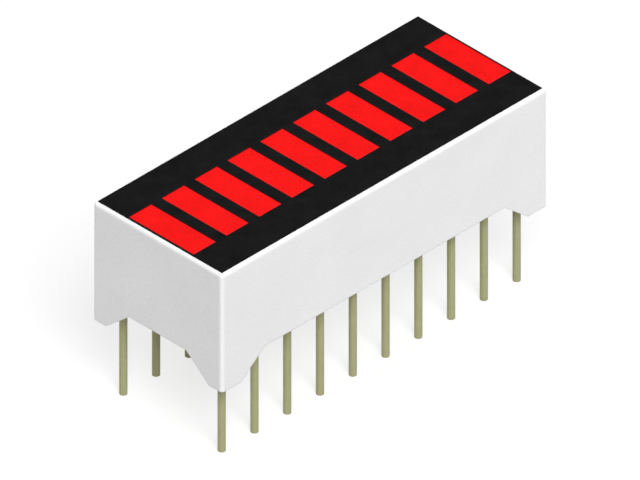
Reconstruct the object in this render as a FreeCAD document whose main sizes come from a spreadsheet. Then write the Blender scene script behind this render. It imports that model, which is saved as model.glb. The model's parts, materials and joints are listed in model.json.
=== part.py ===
import FreeCAD, Part
import math
import os

import Sketcher
from FreeCAD import Vector

# A ten-segment LED bar graph in a dual-in-line package with round pins.
# A moulded housing carries a reflector block with one tapered well for each
# segment. The wells are full of red diffused resin, flush with a black face.
# Behind the block lies a board with one chip and one bond wire for each well,
# and a poured resin backing closes the housing round the pins.
#
# The origin is on the floor that the pin tips stand on, under the centre of
# the face. +X runs along the housing, +Y across it and +Z out of the face.
# Pins 1 to 10 are the front row, from -X to +X. Pins 11 to 20 are the back
# row and run the other way. All lengths are in millimetres.

SIZES = [
    ("segment_count", 10, "segments, and pins in each row"),
    ("pin_pitch", 2.54, "from one pin or segment to the next"),
    ("row_spacing", 7.62, "from one row of pins to the other"),
    ("segment_width", 1.7, "lit window, along the housing"),
    ("segment_length", 5.0, "lit window, across the housing"),
    ("end_border", 0.32, "from the last window to the end of the housing"),
    ("side_margin", 1.19, "from a row of pins to the side of the housing"),
    ("body_height", 7.9, "from the feet to the face"),
    ("corner_radius", 0.2, "outer upright edges and the rim of the face"),
    ("wall_thickness", 0.55, "outer wall below the reflector block"),
    ("inner_radius", 0.4, "upright corners inside the wall"),
    ("foot_height", 1.5, "from the feet up to the arches"),
    ("foot_length", 1.5, "flat of a foot, along the housing"),
    ("foot_width", 1.0, "flat of a foot, across the housing"),
    ("foot_flank", 1.8, "run of the slope from a foot to its arch"),
    ("ink_thickness", 0.05, "black print on the face"),
    ("lip_depth", 0.6, "straight mouth of a well"),
    ("well_base_width", 1.1, "bottom of a well, along the housing"),
    ("well_base_length", 3.4, "bottom of a well, across the housing"),
    ("channel_height", 0.8, "room over the solder, above the copper"),
    ("channel_room", 0.9, "from a row of pins to the reflector block"),
    ("board_thickness", 0.8, "bare board"),
    ("board_clearance", 0.06, "between the board and the wall"),
    ("hole_clearance", 0.03, "between a pin and its hole in the board"),
    ("copper_thickness", 0.035, "tracks"),
    ("track_width", 0.6, "strip between a pin and a chip"),
    ("track_gap", 0.2, "between the two tracks of a segment"),
    ("pad_ring", 0.12, "copper round the hole of a pin"),
    ("chip_side", 0.3, "square of a chip"),
    ("chip_height", 0.25, "a chip above its glue"),
    ("glue_thickness", 0.02, "under a chip"),
    ("glue_margin", 0.05, "glue beyond the side of a chip"),
    ("wire_width", 0.04, "bond wire, across its flats"),
    ("wire_rise", 0.14, "straight neck of a wire above its chip"),
    ("stitch_length", 0.12, "end of a wire that lies on its track"),
    ("stitch_inset", 0.3, "from the end of the track to the far end of a wire"),
    ("pin_diameter", 0.46, "round pin"),
    ("pin_free_length", 5.0, "from the feet down to the pin tips"),
    ("solder_height", 0.22, "solder over the end of a pin"),
    ("solder_top_width", 0.3, "square flat on top of the solder"),
    ("solder_inset", 0.03, "bare copper round the solder"),
    ("potting_thickness", 0.7, "resin under the board"),
    ("potting_recess", 0.3, "from the arches up to the resin"),
    ("rim_width", 0.1, "flat rim of the resin beside the wall"),
    ("dish_run", 0.25, "slope from the rim to the flat of the resin"),
    ("dish_depth", 0.1, "flat of the resin above its rim"),
    ("peg_width", 0.7, "peg that holds the board on the block, across its flats"),
    ("peg_clearance", 0.05, "between a peg and its hole in the board"),
]

# Levels above the floor, from the feet up.
FEET = "Sizes.pin_free_length"
RESIN_RIM = f"({FEET} + Sizes.foot_height + Sizes.potting_recess)"
BOARD_UNDERSIDE = f"({RESIN_RIM} + Sizes.potting_thickness)"
BOARD_TOP = f"({BOARD_UNDERSIDE} + Sizes.board_thickness)"
COPPER_TOP = f"({BOARD_TOP} + Sizes.copper_thickness)"
FACE = f"({FEET} + Sizes.body_height)"
INK_UNDERSIDE = f"({FACE} - Sizes.ink_thickness)"
LIP = f"({INK_UNDERSIDE} - Sizes.lip_depth)"

# Plan sizes of the housing and of the space inside its wall.
ROW_LENGTH = "((Sizes.segment_count - 1) * Sizes.pin_pitch)"
BODY_LENGTH = f"({ROW_LENGTH} + Sizes.segment_width + 2 * Sizes.end_border)"
BODY_WIDTH = "(Sizes.row_spacing + 2 * Sizes.side_margin)"
INSIDE_LENGTH = f"({BODY_LENGTH} - 2 * Sizes.wall_thickness)"
INSIDE_WIDTH = f"({BODY_WIDTH} - 2 * Sizes.wall_thickness)"
SEGMENT = ("Sizes.segment_width", "Sizes.segment_length")
WELL_BASE = ("Sizes.well_base_width", "Sizes.well_base_length")

FIRST_X = f"(-{ROW_LENGTH} / 2)"
FRONT_ROW_Y = "(-Sizes.row_spacing / 2)"
BACK_ROW_Y = "(Sizes.row_spacing / 2)"

PIN_RADIUS = "(Sizes.pin_diameter / 2)"
HOLE_WIDTH = "(Sizes.pin_diameter + 2 * Sizes.hole_clearance)"
PAD_WIDTH = f"({HOLE_WIDTH} + 2 * Sizes.pad_ring)"

# The die pad reaches half a track's width past the middle of its chip, and the
# other track of the segment ends one gap beyond it.
DIE_PAD_END = "(Sizes.track_width / 2)"
BOND_PAD_END = f"({DIE_PAD_END} + Sizes.track_gap)"

# The pegs stand in the ribs after this segment, counted from either end.
PEG_RIB = 2
PEG_X = f"(-{FIRST_X} - ({PEG_RIB} - 0.5) * Sizes.pin_pitch)"

CHIP_UNDERSIDE = f"({COPPER_TOP} + Sizes.glue_thickness)"

HOLE_SIDES = 8
WIRE_SIDES = 6
SAME_PLACE = 1e-6

doc = FreeCAD.newDocument("led_bar_graph")
sheet = doc.addObject("Spreadsheet::Sheet", "Sizes")


def fill_sheet():
    """Write each driving dimension to a cell of its own, with its name."""
    for row, (name, value, meaning) in enumerate(SIZES, start=1):
        sheet.set(f"A{row}", meaning)
        sheet.set(f"B{row}", str(value))
        sheet.setAlias(f"B{row}", name)
    doc.recompute()


def value_of(formula):
    """The number that a formula of the sheet's names comes to."""
    return float(sheet.evalExpression(formula))


def add_body(name, x=None, y=None, z=None):
    """Start a sub-part whose own origin stands at the given formulas."""
    body = doc.addObject("PartDesign::Body", name)
    body.Label = name
    place(body, "Placement", x, y, z)
    return body


def place(thing, placement, x, y, z):
    for axis, formula in zip("xyz", (x, y, z)):
        if formula is not None:
            thing.setExpression(f"{placement}.Base.{axis}", formula)


def datum(body, role):
    """A plane or axis of a body's origin, such as XY_Plane or X_Axis."""
    return next(item for item in body.Origin.OriginFeatures if item.Role == role)


def add_sketch(body, name, plane, x=None, y=None, z=None):
    """Add a sketch on an origin plane, moved by formulas in that plane's axes."""
    sketch = body.newObject("Sketcher::SketchObject", name)
    sketch.AttachmentSupport = (datum(body, plane), [""])
    sketch.MapMode = "FlatFace"
    place(sketch, "AttachmentOffset", x, y, z)
    return sketch


def tie(sketch, name, formula, kind, *where):
    """Add a dimension to a sketch and bind it to a formula."""
    index = sketch.addConstraint(Sketcher.Constraint(kind, *where, value_of(formula)))
    sketch.renameConstraint(index, name)
    sketch.setExpression(f"Constraints.{name}", formula)


def draw_polygon(sketch, points):
    """Draw a closed outline of straight lines through the points."""
    count = len(points)
    for index, start in enumerate(points):
        end = points[(index + 1) % count]
        sketch.addGeometry(Part.LineSegment(Vector(*start), Vector(*end)), False)
    for index in range(count):
        after = (index + 1) % count
        sketch.addConstraint(Sketcher.Constraint("Coincident", index, 2, after, 1))


def draw_rectangle(sketch, width, depth):
    """Draw a rectangle centred on the sketch's origin."""
    right = value_of(width) / 2
    top = value_of(depth) / 2
    draw_polygon(sketch, [(-right, -top), (right, -top), (right, top), (-right, top)])
    for line in (0, 2):
        sketch.addConstraint(Sketcher.Constraint("Horizontal", line))
    for line in (1, 3):
        sketch.addConstraint(Sketcher.Constraint("Vertical", line))
    sketch.addConstraint(Sketcher.Constraint("Symmetric", 0, 1, 2, 1, -1, 1))
    tie(sketch, "width", width, "DistanceX", 0, 1, 0, 2)
    tie(sketch, "depth", depth, "DistanceY", 1, 1, 1, 2)


def draw_circle(sketch, radius):
    """Draw a circle centred on the sketch's origin."""
    circle = Part.Circle(Vector(0, 0, 0), Vector(0, 0, 1), value_of(radius))
    index = sketch.addGeometry(circle, False)
    sketch.addConstraint(Sketcher.Constraint("Coincident", index, 3, -1, 1))
    tie(sketch, f"radius_{index}", radius, "Radius", index)


def tie_point(sketch, line, end, across, up):
    """Bind one end of a line to its two distances from the sketch's origin."""
    for kind, axis, formula in (("DistanceX", -2, across), ("DistanceY", -1, up)):
        name = f"{kind}_{line}_{end}"
        distance = value_of(formula)
        if abs(distance) < SAME_PLACE:
            sketch.addConstraint(Sketcher.Constraint("PointOnObject", line, end, axis))
        elif distance > 0:
            tie(sketch, name, formula, kind, -1, 1, line, end)
        else:
            tie(sketch, name, f"-({formula})", kind, line, end, -1, 1)


def draw_profile(sketch, points):
    """Draw half a turned section, with each point bound to two formulas.

    A point is its distance from the axis and its height.
    """
    corners = [(value_of(reach), value_of(height)) for reach, height in points]
    draw_polygon(sketch, corners)
    for line, (reach, height) in enumerate(points):
        tie_point(sketch, line, 1, reach, height)


def draw_path(sketch, points):
    """Draw an open run of straight lines, with each point bound to two formulas."""
    corners = [Vector(value_of(across), value_of(up)) for across, up in points]
    for line, (start, end) in enumerate(zip(corners, corners[1:])):
        sketch.addGeometry(Part.LineSegment(start, end), False)
        if line:
            sketch.addConstraint(Sketcher.Constraint("Coincident", line - 1, 2, line, 1))
        tie_point(sketch, line, 1, *points[line])
    tie_point(sketch, len(points) - 2, 2, *points[-1])


def draw_regular(sketch, sides, across_flats):
    """Draw an even-sided regular outline, centred, with a flat straight above."""
    corner_radius = value_of(across_flats) / 2 / math.cos(math.pi / sides)
    angles = [math.pi / 2 + math.pi * (2 * n - 1) / sides for n in range(sides)]
    draw_polygon(
        sketch,
        [(corner_radius * math.cos(a), corner_radius * math.sin(a)) for a in angles],
    )
    guide = Part.Circle(Vector(0, 0, 0), Vector(0, 0, 1), corner_radius)
    index = sketch.addGeometry(guide, True)
    sketch.addConstraint(Sketcher.Constraint("Coincident", index, 3, -1, 1))
    for side in range(sides):
        sketch.addConstraint(Sketcher.Constraint("PointOnObject", side, 1, index))
    for side in range(1, sides):
        sketch.addConstraint(Sketcher.Constraint("Equal", 0, side))
    sketch.addConstraint(Sketcher.Constraint("Horizontal", 0))
    corner = f"{across_flats} / 2 / cos(180 deg / {sides})"
    tie(sketch, "corner_radius", corner, "Radius", index)


def add_pad(body, sketch, length):
    pad = body.newObject("PartDesign::Pad", f"{sketch.Name}_pad")
    pad.Profile = sketch
    pad.setExpression("Length", length)
    return pad


def add_pocket(body, sketch, length=None, upwards=False):
    """Cut a sketch down into the body, up into it, or right through both ways."""
    pocket = body.newObject("PartDesign::Pocket", f"{sketch.Name}_pocket")
    pocket.Profile = sketch
    if length is None:
        pocket.Type = "ThroughAll"
        pocket.SideType = "Symmetric"
    else:
        pocket.setExpression("Length", length)
        pocket.Reversed = upwards
    return pocket


def add_wedge(body, kind, name, bottom, top, low, high, x=None):
    """Add or cut a block that tapers from one centred rectangle to another.

    A rectangle is its size along the housing and its size across it. The block's
    own Y runs up from the bottom level.
    """
    wedge = body.newObject(f"PartDesign::{kind}", name)
    wedge.AttachmentSupport = (datum(body, "XZ_Plane"), [""])
    wedge.MapMode = "FlatFace"
    place(wedge, "AttachmentOffset", x, bottom, None)
    wedge.Ymin = 0
    wedge.setExpression("Ymax", f"{top} - {bottom}")
    for end, (width, depth) in (("", low), ("2", high)):
        for axis, size in (("X", width), ("Z", depth)):
            wedge.setExpression(f"{axis}{end}min", f"-({size}) / 2")
            wedge.setExpression(f"{axis}{end}max", f"({size}) / 2")
    return wedge


def add_turning(body, sketch):
    """Turn a profile about the sketch's upright axis, each length a face of its own."""
    turning = body.newObject("PartDesign::Revolution", f"{sketch.Name}_turning")
    turning.Profile = sketch
    turning.ReferenceAxis = (sketch, ["V_Axis"])
    turning.Refine = False
    return turning


def add_fillet(body, base, edges, radius):
    fillet = body.newObject("PartDesign::Fillet", f"{base.Name}_fillet")
    fillet.Base = (base, edges)
    fillet.setExpression("Radius", radius)
    return fillet


def add_row(body, features, second_row=False):
    """Repeat features for every segment, and for both rows of pins if asked."""
    row = body.newObject("PartDesign::LinearPattern", f"{features[-1].Name}_row")
    row.Originals = features
    row.Direction = (datum(body, "X_Axis"), [""])
    row.Mode = "Spacing"
    row.setExpression("Offset", "Sizes.pin_pitch")
    row.setExpression("Occurrences", "Sizes.segment_count")
    if second_row:
        row.Direction2 = (datum(body, "Y_Axis"), [""])
        row.Mode2 = "Extent"
        row.setExpression("Length2", "Sizes.row_spacing")
        row.Occurrences2 = 2
    body.Tip = row
    return row


def add_mirror(body, features, plane):
    mirror = body.newObject("PartDesign::Mirrored", f"{features[-1].Name}_mirror")
    mirror.Originals = features
    mirror.MirrorPlane = (datum(body, plane), [""])
    body.Tip = mirror
    return mirror


def upright_edges(feature, length, width):
    """The upright edges at the four corners of a plan of this size."""
    doc.recompute()
    found = []
    for index, edge in enumerate(feature.Shape.Edges, start=1):
        box = edge.BoundBox
        at_corner = (
            abs(abs(box.Center.x) - value_of(length) / 2) < SAME_PLACE
            and abs(abs(box.Center.y) - value_of(width) / 2) < SAME_PLACE
        )
        if at_corner and box.ZLength > SAME_PLACE:
            found.append(f"Edge{index}")
    return found


def rim_edges(feature, level):
    """The edges that lie flat at this level."""
    doc.recompute()
    found = []
    for index, edge in enumerate(feature.Shape.Edges, start=1):
        box = edge.BoundBox
        if abs(box.ZMin - value_of(level)) < SAME_PLACE and box.ZLength < SAME_PLACE:
            found.append(f"Edge{index}")
    return found


def segment_x(number):
    """Where a segment stands along the housing, counted from 1 at -X."""
    return f"({FIRST_X} + {number - 1} * Sizes.pin_pitch)"


def draw_arch(sketch, span):
    """Draw the opening between two feet: wide at the feet, narrower above."""
    half_span = value_of(span) / 2
    half_crown = half_span - value_of("Sizes.foot_flank")
    crown = value_of("Sizes.foot_height")
    draw_polygon(
        sketch,
        [(-half_span, 0), (half_span, 0), (half_crown, crown), (-half_crown, crown)],
    )
    sketch.addConstraint(Sketcher.Constraint("PointOnObject", 0, 1, -1))
    sketch.addConstraint(Sketcher.Constraint("Symmetric", 0, 1, 0, 2, -2))
    sketch.addConstraint(Sketcher.Constraint("Symmetric", 2, 1, 2, 2, -2))
    tie(sketch, "span", span, "DistanceX", 0, 1, 0, 2)
    tie(sketch, "flank", "Sizes.foot_flank", "DistanceX", 2, 1, 0, 2)
    tie(sketch, "crown", "Sizes.foot_height", "DistanceY", 0, 2, 2, 1)


def cut_arches(body):
    """Arch the lower edge of all four walls, which leaves a foot at each corner."""
    long_arch = add_sketch(body, "long_arch", "XZ_Plane", y=FEET)
    draw_arch(long_arch, f"{BODY_LENGTH} - 2 * Sizes.foot_length")
    add_pocket(body, long_arch)
    end_arch = add_sketch(body, "end_arch", "YZ_Plane", y=FEET)
    draw_arch(end_arch, f"{BODY_WIDTH} - 2 * Sizes.foot_width")
    add_pocket(body, end_arch)


def cut_wells(body):
    """Cut the tapered well of every segment through the reflector block."""
    taper = add_wedge(
        body, "SubtractiveWedge", "well", COPPER_TOP, LIP, WELL_BASE, SEGMENT, FIRST_X
    )
    mouth = add_sketch(body, "well_mouth", "XY_Plane", x=FIRST_X, z=INK_UNDERSIDE)
    draw_rectangle(mouth, *SEGMENT)
    lip = add_pocket(body, mouth, "Sizes.lip_depth")
    add_row(body, [taper, lip])


def add_pegs(body):
    """Stand the two pegs on the block, down to the underside of the board."""
    section = add_sketch(body, "peg", "XY_Plane", x=PEG_X, z=BOARD_UNDERSIDE)
    draw_regular(section, HOLE_SIDES, "Sizes.peg_width")
    peg = add_pad(body, section, f"{COPPER_TOP} - {BOARD_UNDERSIDE}")
    add_mirror(body, [peg], "YZ_Plane")


def make_housing():
    """The moulded shell, with its reflector block, arches, wells and pegs."""
    body = add_body("housing")
    outline = add_sketch(body, "housing_outline", "XY_Plane", z=FEET)
    draw_rectangle(outline, BODY_LENGTH, BODY_WIDTH)
    block = add_pad(body, outline, f"{INK_UNDERSIDE} - {FEET}")
    outer_edges = upright_edges(block, BODY_LENGTH, BODY_WIDTH)
    outer_edges += rim_edges(block, INK_UNDERSIDE)
    add_fillet(body, block, outer_edges, "Sizes.corner_radius")

    inside = add_sketch(body, "housing_inside", "XY_Plane", z=FEET)
    draw_rectangle(inside, INSIDE_LENGTH, INSIDE_WIDTH)
    add_pocket(body, inside, f"{COPPER_TOP} - {FEET}", upwards=True)

    channel_width = "(Sizes.side_margin - Sizes.wall_thickness + Sizes.channel_room)"
    channel_y = f"({INSIDE_WIDTH} / 2 - {channel_width} / 2)"
    channel = add_sketch(body, "channel", "XY_Plane", y=channel_y, z=COPPER_TOP)
    draw_rectangle(channel, INSIDE_LENGTH, channel_width)
    room = add_pocket(body, channel, "Sizes.channel_height", upwards=True)
    channels = add_mirror(body, [room], "XZ_Plane")
    inner_edges = upright_edges(channels, INSIDE_LENGTH, INSIDE_WIDTH)
    add_fillet(body, channels, inner_edges, "Sizes.inner_radius")

    cut_wells(body)
    cut_arches(body)
    add_pegs(body)
    return body


def make_face_mask():
    """The black print on the flat of the face, with a window for each segment."""
    body = add_body("face_mask")
    field = add_sketch(body, "ink", "XY_Plane", z=INK_UNDERSIDE)
    rim = "2 * Sizes.corner_radius"
    draw_rectangle(field, f"{BODY_LENGTH} - {rim}", f"{BODY_WIDTH} - {rim}")
    add_pad(body, field, "Sizes.ink_thickness")
    window = add_sketch(body, "window", "XY_Plane", x=FIRST_X, z=FACE)
    draw_rectangle(window, *SEGMENT)
    cut = add_pocket(body, window, "Sizes.ink_thickness")
    add_row(body, [cut])
    return body


def make_circuit_board():
    """The board, loose inside the wall by its clearance, held by the pegs."""
    body = add_body("circuit_board")
    outline = add_sketch(body, "board", "XY_Plane", z=BOARD_UNDERSIDE)
    board_length = f"({INSIDE_LENGTH} - 2 * Sizes.board_clearance)"
    board_width = f"({INSIDE_WIDTH} - 2 * Sizes.board_clearance)"
    draw_rectangle(outline, board_length, board_width)
    slab = add_pad(body, outline, "Sizes.board_thickness")
    corners = upright_edges(slab, board_length, board_width)
    add_fillet(body, slab, corners, "Sizes.inner_radius")
    hole = add_sketch(
        body, "pin_hole", "XY_Plane", x=FIRST_X, y=FRONT_ROW_Y, z=BOARD_TOP
    )
    draw_regular(hole, HOLE_SIDES, HOLE_WIDTH)
    pin_hole = add_pocket(body, hole, "Sizes.board_thickness")
    add_row(body, [pin_hole], second_row=True)
    seat = add_sketch(body, "peg_hole", "XY_Plane", x=PEG_X, z=BOARD_TOP)
    seat_width = "(Sizes.peg_width + 2 * Sizes.peg_clearance)"
    draw_regular(seat, HOLE_SIDES, seat_width)
    peg_hole = add_pocket(body, seat, "Sizes.board_thickness")
    add_mirror(body, [peg_hole], "YZ_Plane")
    return body


def make_potting():
    """The poured resin under the board, with a shallow dish in its underside."""
    body = add_body("potting")
    outline = add_sketch(body, "resin", "XY_Plane", z=RESIN_RIM)
    draw_rectangle(outline, INSIDE_LENGTH, INSIDE_WIDTH)
    slab = add_pad(body, outline, "Sizes.potting_thickness")
    corners = upright_edges(slab, INSIDE_LENGTH, INSIDE_WIDTH)
    add_fillet(body, slab, corners, "Sizes.inner_radius")

    rim = "2 * Sizes.rim_width"
    slope = "2 * (Sizes.rim_width + Sizes.dish_run)"
    dish_edge = (f"{INSIDE_LENGTH} - {rim}", f"{INSIDE_WIDTH} - {rim}")
    dish_flat = (f"{INSIDE_LENGTH} - {slope}", f"{INSIDE_WIDTH} - {slope}")
    dish_level = f"({RESIN_RIM} + Sizes.dish_depth)"
    add_wedge(
        body, "SubtractiveWedge", "dish", RESIN_RIM, dish_level, dish_edge, dish_flat
    )

    hole = add_sketch(
        body, "pin_hole", "XY_Plane", x=FIRST_X, y=FRONT_ROW_Y, z=BOARD_UNDERSIDE
    )
    draw_circle(hole, PIN_RADIUS)
    pin_hole = add_pocket(body, hole, "Sizes.potting_thickness")
    add_row(body, [pin_hole], second_row=True)
    return body


def make_tracks(name, pin_y, end_y):
    """Ten copper tracks, each from the pad round its pin to its end by the chip."""
    body = add_body(name)
    middle_y = f"(({pin_y} + {end_y}) / 2)"
    strip = add_sketch(body, "strip", "XY_Plane", x=FIRST_X, y=middle_y, z=BOARD_TOP)
    draw_rectangle(strip, "Sizes.track_width", f"abs({pin_y} - {end_y})")
    pad = add_sketch(body, "pad", "XY_Plane", x=FIRST_X, y=pin_y, z=BOARD_TOP)
    draw_rectangle(pad, PAD_WIDTH, PAD_WIDTH)
    hole = add_sketch(body, "hole", "XY_Plane", x=FIRST_X, y=pin_y, z=COPPER_TOP)
    draw_regular(hole, HOLE_SIDES, HOLE_WIDTH)
    features = [
        add_pad(body, strip, "Sizes.copper_thickness"),
        add_pad(body, pad, "Sizes.copper_thickness"),
        add_pocket(body, hole, "Sizes.copper_thickness"),
    ]
    add_row(body, features)
    return body


def make_die_attach():
    """The ten dabs of conductive glue, one under each chip."""
    body = add_body("die_attach")
    dab = add_sketch(body, "dab", "XY_Plane", x=FIRST_X, z=COPPER_TOP)
    side = "Sizes.chip_side + 2 * Sizes.glue_margin"
    draw_rectangle(dab, side, side)
    add_row(body, [add_pad(body, dab, "Sizes.glue_thickness")])
    return body


def make_chip(number):
    """One light-emitting chip, centred at the bottom of its well."""
    name = f"led_chip_{number:02d}"
    chip = doc.addObject("Part::Box", name)
    chip.Label = name
    chip.setExpression("Length", "Sizes.chip_side")
    chip.setExpression("Width", "Sizes.chip_side")
    chip.setExpression("Height", "Sizes.chip_height")
    half_side = "Sizes.chip_side / 2"
    left = f"{segment_x(number)} - {half_side}"
    place(chip, "Placement", left, f"-{half_side}", CHIP_UNDERSIDE)
    return chip


def make_wire(number):
    """One bond wire: a neck on the chip, a slope, and a stitch on the track."""
    body = add_body(f"bond_wire_{number:02d}", x=segment_x(number))
    chip_top = f"({CHIP_UNDERSIDE} + Sizes.chip_height)"
    route = add_sketch(body, "route", "YZ_Plane")
    far_end = f"(-{BOND_PAD_END} - Sizes.stitch_inset)"
    on_track = f"({COPPER_TOP} + Sizes.wire_width / 2)"
    draw_path(
        route,
        [
            ("0", chip_top),
            ("0", f"{chip_top} + Sizes.wire_rise"),
            (f"{far_end} + Sizes.stitch_length", on_track),
            (far_end, on_track),
        ],
    )
    section = add_sketch(body, "section", "XY_Plane", z=chip_top)
    draw_regular(section, WIRE_SIDES, "Sizes.wire_width")
    pipe = body.newObject("PartDesign::AdditivePipe", "pipe")
    pipe.Profile = section
    pipe.Spine = route
    pipe.Transition = "Right corner"
    return body


def make_lens(number, sunk):
    """The resin that fills one well, round the things sunk in its bottom."""
    column = add_body(f"resin_column_{number:02d}", x=segment_x(number))
    foot = add_sketch(column, "foot", "XY_Plane", z=BOARD_TOP)
    draw_rectangle(foot, *WELL_BASE)
    add_pad(column, foot, "Sizes.copper_thickness")
    add_wedge(column, "AdditiveWedge", "taper", COPPER_TOP, LIP, WELL_BASE, SEGMENT)
    mouth = add_sketch(column, "mouth", "XY_Plane", z=LIP)
    draw_rectangle(mouth, *SEGMENT)
    add_pad(column, mouth, f"{FACE} - {LIP}")

    lens = column
    for layer, thing in enumerate(sunk, start=1):
        around = doc.addObject("Part::Cut", f"resin_{number:02d}_{layer}")
        around.Base = lens
        around.Tool = thing
        lens = around
    lens.Label = f"segment_lens_{number:02d}"
    return lens


def make_pin(number):
    """One round pin, free below the feet and held by resin and solder above them."""
    count = int(value_of("Sizes.segment_count"))
    if number <= count:
        x, y = segment_x(number), FRONT_ROW_Y
    else:
        x, y = segment_x(2 * count + 1 - number), BACK_ROW_Y
    body = add_body(f"pin_{number:02d}", x=x, y=y)
    profile = add_sketch(body, "profile", "XZ_Plane")
    draw_profile(
        profile,
        [
            ("0", "0"),
            (PIN_RADIUS, "0"),
            (PIN_RADIUS, FEET),
            (PIN_RADIUS, COPPER_TOP),
            ("0", COPPER_TOP),
        ],
    )
    add_turning(body, profile)
    return body


def make_solder_joints():
    """The twenty mounds of solder, each over the end of a pin and its pad."""
    body = add_body("solder_joints", x=FIRST_X, y=FRONT_ROW_Y)
    crest = f"({COPPER_TOP} + Sizes.solder_height)"
    spread = f"{PAD_WIDTH} - 2 * Sizes.solder_inset"
    low, high = (spread, spread), ("Sizes.solder_top_width", "Sizes.solder_top_width")
    mound = add_wedge(body, "AdditiveWedge", "mound", COPPER_TOP, crest, low, high)
    add_row(body, [mound], second_row=True)
    return body


def make_parts():
    """Make every sub-part, and return those that are pieces of the object."""
    segments = range(1, int(value_of("Sizes.segment_count")) + 1)
    pins = range(1, 2 * len(segments) + 1)
    cathodes = make_tracks("cathode_tracks", BACK_ROW_Y, f"(-{DIE_PAD_END})")
    anodes = make_tracks("anode_tracks", FRONT_ROW_Y, f"(-{BOND_PAD_END})")
    glue = make_die_attach()
    pieces = [
        make_housing(),
        make_face_mask(),
        make_circuit_board(),
        make_potting(),
        cathodes,
        anodes,
        glue,
        make_solder_joints(),
    ]
    for number in segments:
        chip = make_chip(number)
        wire = make_wire(number)
        pieces += [chip, wire, make_lens(number, [cathodes, anodes, glue, chip, wire])]
    pieces += [make_pin(number) for number in pins]
    return pieces


def check(pieces):
    """Stop if any object failed to build or any piece is not a sound solid."""
    for thing in doc.Objects:
        if "Invalid" in thing.State or "Error" in thing.State:
            raise RuntimeError(f"{thing.Name} failed: {thing.State}")
    for piece in pieces:
        shape = piece.Shape
        if shape.isNull() or not shape.isValid() or not shape.Solids:
            raise RuntimeError(f"{piece.Label} has no sound solid")


fill_sheet()
pieces = make_parts()
doc.recompute()
check(pieces)
os.makedirs("parts", exist_ok=True)
for piece in pieces:
    piece.Shape.exportStep(f"parts/{piece.Label}.step")
    print(f"{piece.Label}: {len(piece.Shape.Solids)} solids, {piece.Shape.Volume:.4f}")
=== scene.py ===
import json
import math

import bpy
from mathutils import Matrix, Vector


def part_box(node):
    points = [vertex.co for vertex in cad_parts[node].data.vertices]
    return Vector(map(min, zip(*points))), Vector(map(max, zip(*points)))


# The materials, light and camera of the LED bar graph. Every visible shape is a
# CAD node, and each node gets a procedural material in place of its plain one.

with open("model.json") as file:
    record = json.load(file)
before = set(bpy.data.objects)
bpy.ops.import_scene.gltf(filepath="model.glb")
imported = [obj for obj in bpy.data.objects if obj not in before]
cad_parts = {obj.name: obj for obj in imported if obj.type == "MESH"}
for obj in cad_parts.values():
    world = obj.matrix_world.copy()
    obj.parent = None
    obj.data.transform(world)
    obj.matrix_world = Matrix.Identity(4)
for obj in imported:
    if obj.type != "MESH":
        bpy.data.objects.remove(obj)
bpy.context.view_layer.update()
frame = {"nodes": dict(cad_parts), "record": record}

MM = 1000  # millimetres to the metre: the materials are written in millimetres

# The photograph looks along equal angles to all three axes and has no
# perspective. It is 640 px wide, at 18.25 px to the millimetre.
VIEW_WIDTH = 0.03507
LOOK_AT = Vector((0.0, 0.0, 0.00648))
AZIMUTH = math.radians(-45)
ELEVATION = math.atan(1 / math.sqrt(2))
CAMERA_DISTANCE = 0.25
NEAREST_SEEN = 0.01
FARTHEST_SEEN = 5.0

# The key lamp stands high on the camera's side, and the fill lamp low behind the
# part. Both are wide and soft, and an even sky lights the rest.
KEY_LAMP = {"towards": (-0.35, -0.58, 0.75), "strength": 3.0, "width_deg": 30}
FILL_LAMP = {"towards": (0.55, 0.8, 0.2), "strength": 1.0, "width_deg": 60}
LAMP_DISTANCE = 0.3
SKY_LIGHT = 0.32
SKY_SEEN = 1.0

# The floor is a hair below the pin tips, so that neither shows through the other.
# In full light its glow and the light that it scatters add up to white.
FLOOR_GAP = 0.00001
FLOOR_REACH = 1.0
FLOOR_BOUNCE = 0.42
FLOOR_SCATTER = 0.27
FLOOR_GLOW = 0.73

# Most of a noise pattern lies between these two values.
NOISE_LOW = 0.3
NOISE_HIGH = 0.7

EVEN = (1, 1, 1)  # the same grain along all three axes
FINE_GRAIN = {"detail": 3, "roughness": 0.65}
THREAD_DISTORTION = 0.6
BEVEL_SAMPLES = 6


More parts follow.
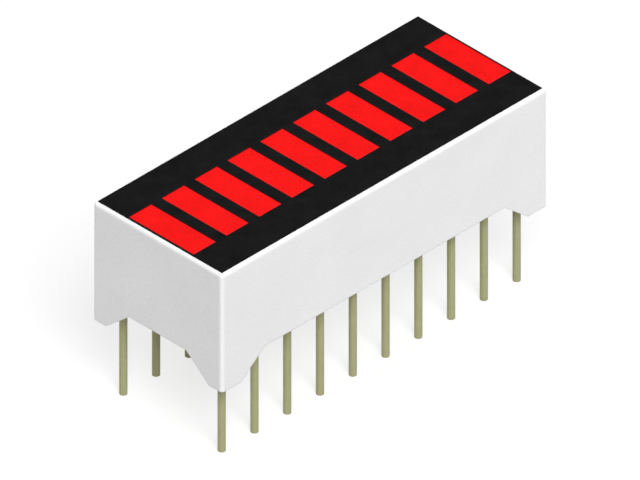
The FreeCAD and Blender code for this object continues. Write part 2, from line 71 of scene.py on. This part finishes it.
class Surface:
    """A material with a principled shader and the few patterns used here."""

    def __init__(self, name, **inputs):
        self.material = bpy.data.materials.new(name)
        self.material.use_nodes = True
        self.nodes = self.material.node_tree.nodes
        self.links = self.material.node_tree.links
        self.shader = next(n for n in self.nodes if n.type == "BSDF_PRINCIPLED")
        for key, value in inputs.items():
            self.shader.inputs[key.replace("_", " ")].default_value = value
        self.place = self.nodes.new("ShaderNodeTexCoord").outputs["Object"]

    # Patterns

    def scaled(self, per_mm, stretch=EVEN):
        """The place on the part, with so many steps to the millimetre."""
        mapping = self.nodes.new("ShaderNodeMapping")
        mapping.inputs["Scale"].default_value = [per_mm * MM * s for s in stretch]
        self.links.new(self.place, mapping.inputs["Vector"])
        return mapping.outputs["Vector"]

    def noise(self, per_mm, detail=2, stretch=EVEN, roughness=0.5):
        """Cloudy grain from 0 to 1, with so many grains to the millimetre."""
        noise = self.nodes.new("ShaderNodeTexNoise")
        noise.inputs["Scale"].default_value = 1.0
        noise.inputs["Detail"].default_value = detail
        noise.inputs["Roughness"].default_value = roughness
        self.links.new(self.scaled(per_mm, stretch), noise.inputs["Vector"])
        return noise.outputs["Fac"]

    def cells(self, per_mm):
        """The distance to the nearest of scattered points."""
        cells = self.nodes.new("ShaderNodeTexVoronoi")
        cells.inputs["Scale"].default_value = 1.0
        self.links.new(self.scaled(per_mm), cells.inputs["Vector"])
        return cells.outputs["Distance"]

    def weave(self, per_mm):
        """Crossed threads, as in a glass cloth or a printing screen."""
        waves = []
        for direction in ("X", "Y"):
            wave = self.nodes.new("ShaderNodeTexWave")
            wave.bands_direction = direction
            wave.inputs["Scale"].default_value = 1.0
            wave.inputs["Distortion"].default_value = THREAD_DISTORTION
            self.links.new(self.scaled(per_mm), wave.inputs["Vector"])
            waves.append(wave.outputs["Fac"])
        return self.maths("MULTIPLY", *waves)

    # Sums

    def maths(self, operation, *values):
        """One operation on numbers or on other nodes' outputs."""
        node = self.nodes.new("ShaderNodeMath")
        node.operation = operation
        for socket, value in zip(node.inputs, values):
            if isinstance(value, (int, float)):
                socket.default_value = value
            else:
                self.links.new(value, socket)
        return node.outputs["Value"]

    def mixed(self, *shares):
        """The sum of several amounts, each times its share."""
        total = 0.0
        for amount, share in shares:
            total = self.maths("MULTIPLY_ADD", amount, share, total)
        return total

    def squared(self, amount):
        return self.maths("MULTIPLY", amount, amount)

    def between(self, amount, low, high, start=NOISE_LOW, end=NOISE_HIGH):
        """A value that goes from low to high as the amount goes from start to end."""
        span = self.nodes.new("ShaderNodeMapRange")
        span.inputs["From Min"].default_value = start
        span.inputs["From Max"].default_value = end
        span.inputs["To Min"].default_value = low
        span.inputs["To Max"].default_value = high
        self.links.new(amount, span.inputs["Value"])
        return span.outputs["Result"]

    # Distances, in millimetres

    def axes(self):
        """The three distances from the origin."""
        split = self.nodes.new("ShaderNodeSeparateXYZ")
        self.links.new(self.scaled(1), split.inputs["Vector"])
        return split.outputs

    def from_middle(self, node, next_node):
        """How far a point lies from the middle of the nearest node in a row, and its Y."""
        low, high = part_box(node)
        pitch = (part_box(next_node)[0][0] - low[0]) * MM
        x, y, _ = self.axes()
        past_first = self.maths("SUBTRACT", x, (low[0] + high[0]) / 2 * MM)
        return self.maths("WRAP", past_first, pitch / 2, -pitch / 2), y

    def in_window(self):
        """How far inside the outline of its window a point lies."""
        low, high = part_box("segment_lens_01")
        beside, y = self.from_middle("segment_lens_01", "segment_lens_02")
        sides = []
        for axis, offset in enumerate((beside, y)):
            half_side = (high[axis] - low[axis]) / 2 * MM
            sides.append(self.maths("SUBTRACT", half_side, self.maths("ABSOLUTE", offset)))
        return self.maths("MINIMUM", *sides)

    def from_pin(self):
        """How far a point lies from the axis of the nearest pin."""
        low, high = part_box("pin_01")
        beside, y = self.from_middle("pin_01", "pin_02")
        row = abs(low[1] + high[1]) / 2 * MM
        across = self.maths("SUBTRACT", self.maths("ABSOLUTE", y), row)
        squares = [self.squared(offset) for offset in (beside, across)]
        return self.maths("SQRT", self.maths("ADD", *squares))

    def from_edge(self):
        """How far a point on a side or the face lies from the housing's nearest edge."""
        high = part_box("housing")[1]
        x, y, z = self.axes()
        right = self.maths("SUBTRACT", high[0] * MM, self.maths("ABSOLUTE", x))
        back = self.maths("SUBTRACT", high[1] * MM, self.maths("ABSOLUTE", y))
        top = self.maths("SUBTRACT", high[2] * MM, z)
        nearer = self.maths("MINIMUM", right, back)
        farther = self.maths("MAXIMUM", right, back)
        return self.maths("MAXIMUM", nearer, self.maths("MINIMUM", farther, top))

    # What the shader takes

    def colour(self, amount, low, high, start=NOISE_LOW, end=NOISE_HIGH):
        """Colour the surface from low to high as the amount goes from start to end."""
        ramp = self.nodes.new("ShaderNodeValToRGB")
        first, last = ramp.color_ramp.elements
        first.position = start
        first.color = (*low, 1.0)
        last.position = end
        last.color = (*high, 1.0)
        self.links.new(amount, ramp.inputs["Fac"])
        self.links.new(ramp.outputs["Color"], self.shader.inputs["Base Color"])

    def roughen(self, amount, low, high, start=NOISE_LOW, end=NOISE_HIGH):
        """Roughen the surface from low to high as the amount goes from start to end."""
        roughness = self.between(amount, low, high, start, end)
        self.links.new(roughness, self.shader.inputs["Roughness"])

    def bump(self, height, depth_mm, edge_mm=0.0):
        """Raise the surface by the height, and round its edges to this radius."""
        bump = self.nodes.new("ShaderNodeBump")
        bump.inputs["Distance"].default_value = depth_mm / MM
        self.links.new(height, bump.inputs["Height"])
        if edge_mm:
            bevel = self.nodes.new("ShaderNodeBevel")
            bevel.samples = BEVEL_SAMPLES
            bevel.inputs["Radius"].default_value = edge_mm / MM
            self.links.new(bevel.outputs["Normal"], bump.inputs["Normal"])
        self.links.new(bump.outputs["Normal"], self.shader.inputs["Normal"])


def housing_plastic():
    """Pale moulded plastic with the matt grain of a spark-eroded mould.

    It is worn smoother along its edges and painted lighter there as a highlight, and has faint
    scuffs along its sides.
    """
    surface = Surface("housing_plastic", Specular_IOR_Level=0.25)
    clouds = surface.noise(0.3)
    grain = surface.noise(8, **FINE_GRAIN)
    scratches = surface.noise(9, detail=3, stretch=(0.03, 1, 1))
    scuffs = surface.between(scratches, 0, 1, start=0.62, end=0.72)
    rubbed_and_highlit = surface.between(surface.from_edge(), 1, 0, start=0.05, end=0.35)
    # Near the edges the colour is painted lighter as a highlight; the same mask also smooths
    # those edges as wear.
    shade = surface.mixed((clouds, 0.3), (grain, 0.7), (scuffs, -0.1), (rubbed_and_highlit, 0.15))
    surface.colour(shade, low=(0.795, 0.795, 0.798), high=(0.908, 0.908, 0.915))
    sheen = surface.mixed((grain, 0.6), (scuffs, 0.3), (rubbed_and_highlit, -0.3))
    surface.roughen(sheen, 0.36, 0.68, start=0.0, end=0.7)
    height = surface.maths("MULTIPLY", grain, surface.between(rubbed_and_highlit, 1, 0.35, start=0, end=1))
    surface.bump(surface.mixed((height, 1.0), (scuffs, -0.3)), depth_mm=0.012, edge_mm=0.06)
    return surface.material


def face_ink():
    """Matt black ink, with the mark of the printing screen and a bead at each window."""
    surface = Surface("face_ink", Specular_IOR_Level=0.025)
    clouds = surface.noise(1.2, detail=4)
    pigment = surface.noise(9, **FINE_GRAIN)
    shade = surface.mixed((clouds, 0.4), (pigment, 0.6))
    surface.colour(shade, low=(0.0005, 0.0005, 0.0005), high=(0.0105, 0.0105, 0.0108))
    bead = surface.between(surface.in_window(), 0, 1, start=-0.16, end=-0.02)
    screen = surface.mixed((pigment, 0.8), (surface.weave(2.2), 0.5))
    surface.roughen(screen, 0.66, 0.88, start=0.2, end=1.0)
    surface.bump(surface.mixed((screen, 1.0), (bead, 1.5)), depth_mm=0.006)
    return surface.material


def segment_resin():
    """Red cast resin, clouded by a diffusing powder, drawn up a little at its walls, and
    painted darker along them as a shadow.
    """
    surface = Surface("segment_resin", Specular_IOR_Level=0.02)
    powder = surface.noise(8, **FINE_GRAIN)
    drift = surface.noise(0.8)
    inside = surface.in_window()
    # Painted shadow: the red is darker along each wall, where the resin's meniscus would shade
    # it.
    shadow = surface.between(inside, 1, 0, start=0.0, end=0.12)
    amount = surface.mixed((powder, 0.65), (drift, 0.35), (shadow, -0.1))
    surface.colour(amount, low=(0.72, 0.002, 0.002), high=(1.0, 0.005, 0.005))
    surface.roughen(powder, 0.32, 0.48)
    climb = surface.squared(surface.between(inside, 1, 0, start=0.0, end=0.1))
    surface.bump(surface.mixed((powder, 0.25), (climb, 0.6)), depth_mm=0.014)
    return surface.material


def board_laminate():
    """Glass cloth in resin, the cloth just showing."""
    surface = Surface("board_laminate", Specular_IOR_Level=0.4)
    cloth = surface.weave(0.8)
    span = {"start": 0.1, "end": 0.8}
    surface.colour(cloth, low=(0.30, 0.33, 0.13), high=(0.42, 0.45, 0.22), **span)
    surface.roughen(cloth, 0.38, 0.55, **span)
    surface.bump(cloth, depth_mm=0.01)
    return surface.material


def backing_resin():
    """Pale poured resin, glossy and uneven, with bubbles in its skin.

    It has crept a little way down each pin.
    """
    surface = Surface("backing_resin", Specular_IOR_Level=0.5)
    clouds = surface.noise(0.5, detail=3)
    speckle = surface.noise(6, detail=3, roughness=0.6)
    bubbles = surface.between(surface.cells(1.4), 1, 0, start=0.05, end=0.12)
    shade = surface.mixed((clouds, 0.6), (speckle, 0.4), (bubbles, -0.25))
    surface.colour(shade, low=(0.52, 0.52, 0.49), high=(0.74, 0.74, 0.71))
    surface.roughen(shade, 0.34, 0.2)
    creep = surface.squared(surface.between(surface.from_pin(), 1, 0, start=0.2, end=0.75))
    height = surface.mixed((clouds, 0.5), (bubbles, -0.12), (creep, 1.2))
    surface.bump(height, depth_mm=0.12)
    return surface.material


def track_copper():
    """Plated copper with fine brushed lines."""
    surface = Surface("track_copper", Metallic=1.0)
    lines = surface.noise(20, detail=3, stretch=(1, 0.1, 1))
    surface.colour(lines, low=(0.76, 0.38, 0.23), high=(0.86, 0.48, 0.31))
    surface.roughen(lines, 0.25, 0.42)
    surface.bump(lines, depth_mm=0.001)
    return surface.material


def conductive_glue():
    """Dull grey paste full of silver flakes."""
    surface = Surface("conductive_glue", Metallic=0.4)
    flakes = surface.cells(60)
    surface.colour(flakes, low=(0.62, 0.62, 0.63), high=(0.42, 0.42, 0.43))
    surface.roughen(flakes, 0.4, 0.7)
    surface.bump(flakes, depth_mm=0.003)
    return surface.material


def chip_crystal():
    """Dark red-brown crystal, with saw marks on its sides."""
    surface = Surface("chip_crystal", Specular_IOR_Level=0.7)
    marks = surface.noise(90, stretch=(0.1, 0.1, 1))
    surface.colour(marks, low=(0.17, 0.07, 0.04), high=(0.27, 0.13, 0.08))
    surface.roughen(marks, 0.3, 0.5)
    surface.bump(marks, depth_mm=0.001)
    return surface.material


def bond_gold():
    """Bright drawn gold."""
    surface = Surface("bond_gold", Metallic=1.0)
    lines = surface.noise(150)
    surface.colour(lines, low=(0.86, 0.57, 0.17), high=(0.94, 0.66, 0.24))
    surface.roughen(lines, 0.2, 0.3)
    surface.bump(lines, depth_mm=0.0005)
    return surface.material


def pin_tin():
    """Dull olive-grey tin plate, with lines along the drawn wire and tarnished spots."""
    surface = Surface("pin_tin", Metallic=0.25, Specular_IOR_Level=0.15)
    lines = surface.noise(16, detail=3, stretch=(1, 1, 0.04))
    dulled = surface.noise(1.8, detail=4)
    spots = surface.noise(7, detail=3, roughness=0.6)
    amount = surface.mixed((lines, 0.4), (dulled, 0.3), (spots, 0.3))
    surface.colour(amount, low=(0.345, 0.345, 0.186), high=(0.415, 0.415, 0.23))
    surface.roughen(amount, 0.52, 0.3)
    surface.bump(surface.mixed((lines, 0.7), (spots, 0.3)), depth_mm=0.004, edge_mm=0.04)
    return surface.material


def solder():
    """Bright solder with the faint frost of its crystals."""
    surface = Surface("solder", Metallic=1.0)
    frost = surface.cells(12)
    surface.colour(frost, low=(0.66, 0.67, 0.68), high=(0.56, 0.57, 0.58))
    surface.roughen(frost, 0.22, 0.38)
    surface.bump(frost, depth_mm=0.004)
    return surface.material


def dress(nodes, record):
    """Give every CAD node the material of its slot."""
    makers = (
        housing_plastic,
        face_ink,
        segment_resin,
        board_laminate,
        backing_resin,
        track_copper,
        conductive_glue,
        chip_crystal,
        bond_gold,
        pin_tin,
        solder,
    )
    materials = {maker.__name__: maker() for maker in makers}
    for part in record["subparts"]:
        node = nodes[part["node"]]
        node.data.materials.clear()
        node.data.materials.append(materials[part["material_slot"]])


def grey(level):
    return (level, level, level, 1.0)


def shown_rays(nodes, links):
    """1 for rays from the camera, a reflection or a transmission, and 0 for light."""
    path = nodes.new("ShaderNodeLightPath")
    total = path.outputs["Is Camera Ray"]
    for name in ("Is Glossy Ray", "Is Transmission Ray"):
        node = nodes.new("ShaderNodeMath")
        node.operation = "MAXIMUM"
        links.new(total, node.inputs[0])
        links.new(path.outputs[name], node.inputs[1])
        total = node.outputs["Value"]
    return total


def either(nodes, links, choice, first, second):
    """The first shader where the choice is 0, and the second where it is 1."""
    node = nodes.new("ShaderNodeMixShader")
    for socket, value in zip(node.inputs, (choice, first, second)):
        links.new(value, socket)
    return node.outputs["Shader"]


def floor_material():
    """White where it is lit, darker in the shadow, and clear from below.

    It is clear from below so that the underside of the part can be looked at.
    """
    material = bpy.data.materials.new("floor")
    material.use_nodes = True
    nodes, links = material.node_tree.nodes, material.node_tree.links
    nodes.clear()
    bounce = nodes.new("ShaderNodeBsdfDiffuse")
    bounce.inputs["Color"].default_value = grey(FLOOR_BOUNCE)
    scatter = nodes.new("ShaderNodeBsdfDiffuse")
    scatter.inputs["Color"].default_value = grey(FLOOR_SCATTER)
    glow = nodes.new("ShaderNodeEmission")
    glow.inputs["Strength"].default_value = FLOOR_GLOW
    top = nodes.new("ShaderNodeAddShader")
    links.new(scatter.outputs["BSDF"], top.inputs[0])
    links.new(glow.outputs["Emission"], top.inputs[1])
    clear = nodes.new("ShaderNodeBsdfTransparent").outputs["BSDF"]
    below = nodes.new("ShaderNodeNewGeometry").outputs["Backfacing"]
    seen = either(nodes, links, below, top.outputs["Shader"], clear)
    shown = shown_rays(nodes, links)
    whole = either(nodes, links, shown, bounce.outputs["BSDF"], seen)
    output = nodes.new("ShaderNodeOutputMaterial")
    links.new(whole, output.inputs["Surface"])
    return material


def make_floor():
    """A plain floor that shows the soft shadow."""
    far, level = FLOOR_REACH, -FLOOR_GAP
    corners = [(-far, -far, level), (far, -far, level), (far, far, level), (-far, far, level)]
    mesh = bpy.data.meshes.new("floor")
    mesh.from_pydata(corners, [], [(0, 1, 2, 3)])
    mesh.materials.append(floor_material())
    floor = bpy.data.objects.new("floor", mesh)
    bpy.context.scene.collection.objects.link(floor)


def make_world():
    """An even sky, white where it is seen or reflected."""
    world = bpy.data.worlds.new("studio")
    bpy.context.scene.world = world
    world.use_nodes = True
    nodes, links = world.node_tree.nodes, world.node_tree.links
    nodes.clear()
    skies = []
    for strength in (SKY_LIGHT, SKY_SEEN):
        sky = nodes.new("ShaderNodeBackground")
        sky.inputs["Color"].default_value = grey(1.0)
        sky.inputs["Strength"].default_value = strength
        skies.append(sky.outputs["Background"])
    shown = shown_rays(nodes, links)
    output = nodes.new("ShaderNodeOutputWorld")
    links.new(either(nodes, links, shown, *skies), output.inputs["Surface"])


def add_sun(name, towards, strength, width_deg):
    """A large soft lamp, far off, in the direction given."""
    data = bpy.data.lights.new(name, "SUN")
    data.energy = strength
    data.angle = math.radians(width_deg)
    lamp = bpy.data.objects.new(name, data)
    bpy.context.scene.collection.objects.link(lamp)
    lamp.rotation_mode = "QUATERNION"
    lamp.rotation_quaternion = Vector(towards).to_track_quat("Z", "Y")
    lamp.location = Vector(towards).normalized() * LAMP_DISTANCE


def add_camera():
    """A camera at the photograph's viewing angle, without perspective."""
    data = bpy.data.cameras.new("camera")
    data.type = "ORTHO"
    data.ortho_scale = VIEW_WIDTH
    data.clip_start = NEAREST_SEEN
    data.clip_end = FARTHEST_SEEN
    camera = bpy.data.objects.new("camera", data)
    bpy.context.scene.collection.objects.link(camera)
    back = Vector(
        (
            math.sin(AZIMUTH) * math.cos(ELEVATION),
            -math.cos(AZIMUTH) * math.cos(ELEVATION),
            math.sin(ELEVATION),
        )
    )
    camera.location = LOOK_AT + CAMERA_DISTANCE * back
    camera.rotation_mode = "QUATERNION"
    camera.rotation_quaternion = (-back).to_track_quat("-Z", "Y")
    bpy.context.scene.camera = camera


dress(frame["nodes"], frame["record"])
make_floor()
make_world()
add_sun("key", **KEY_LAMP)
add_sun("fill", **FILL_LAMP)
add_camera()
bpy.context.scene.view_settings.view_transform = "Standard"
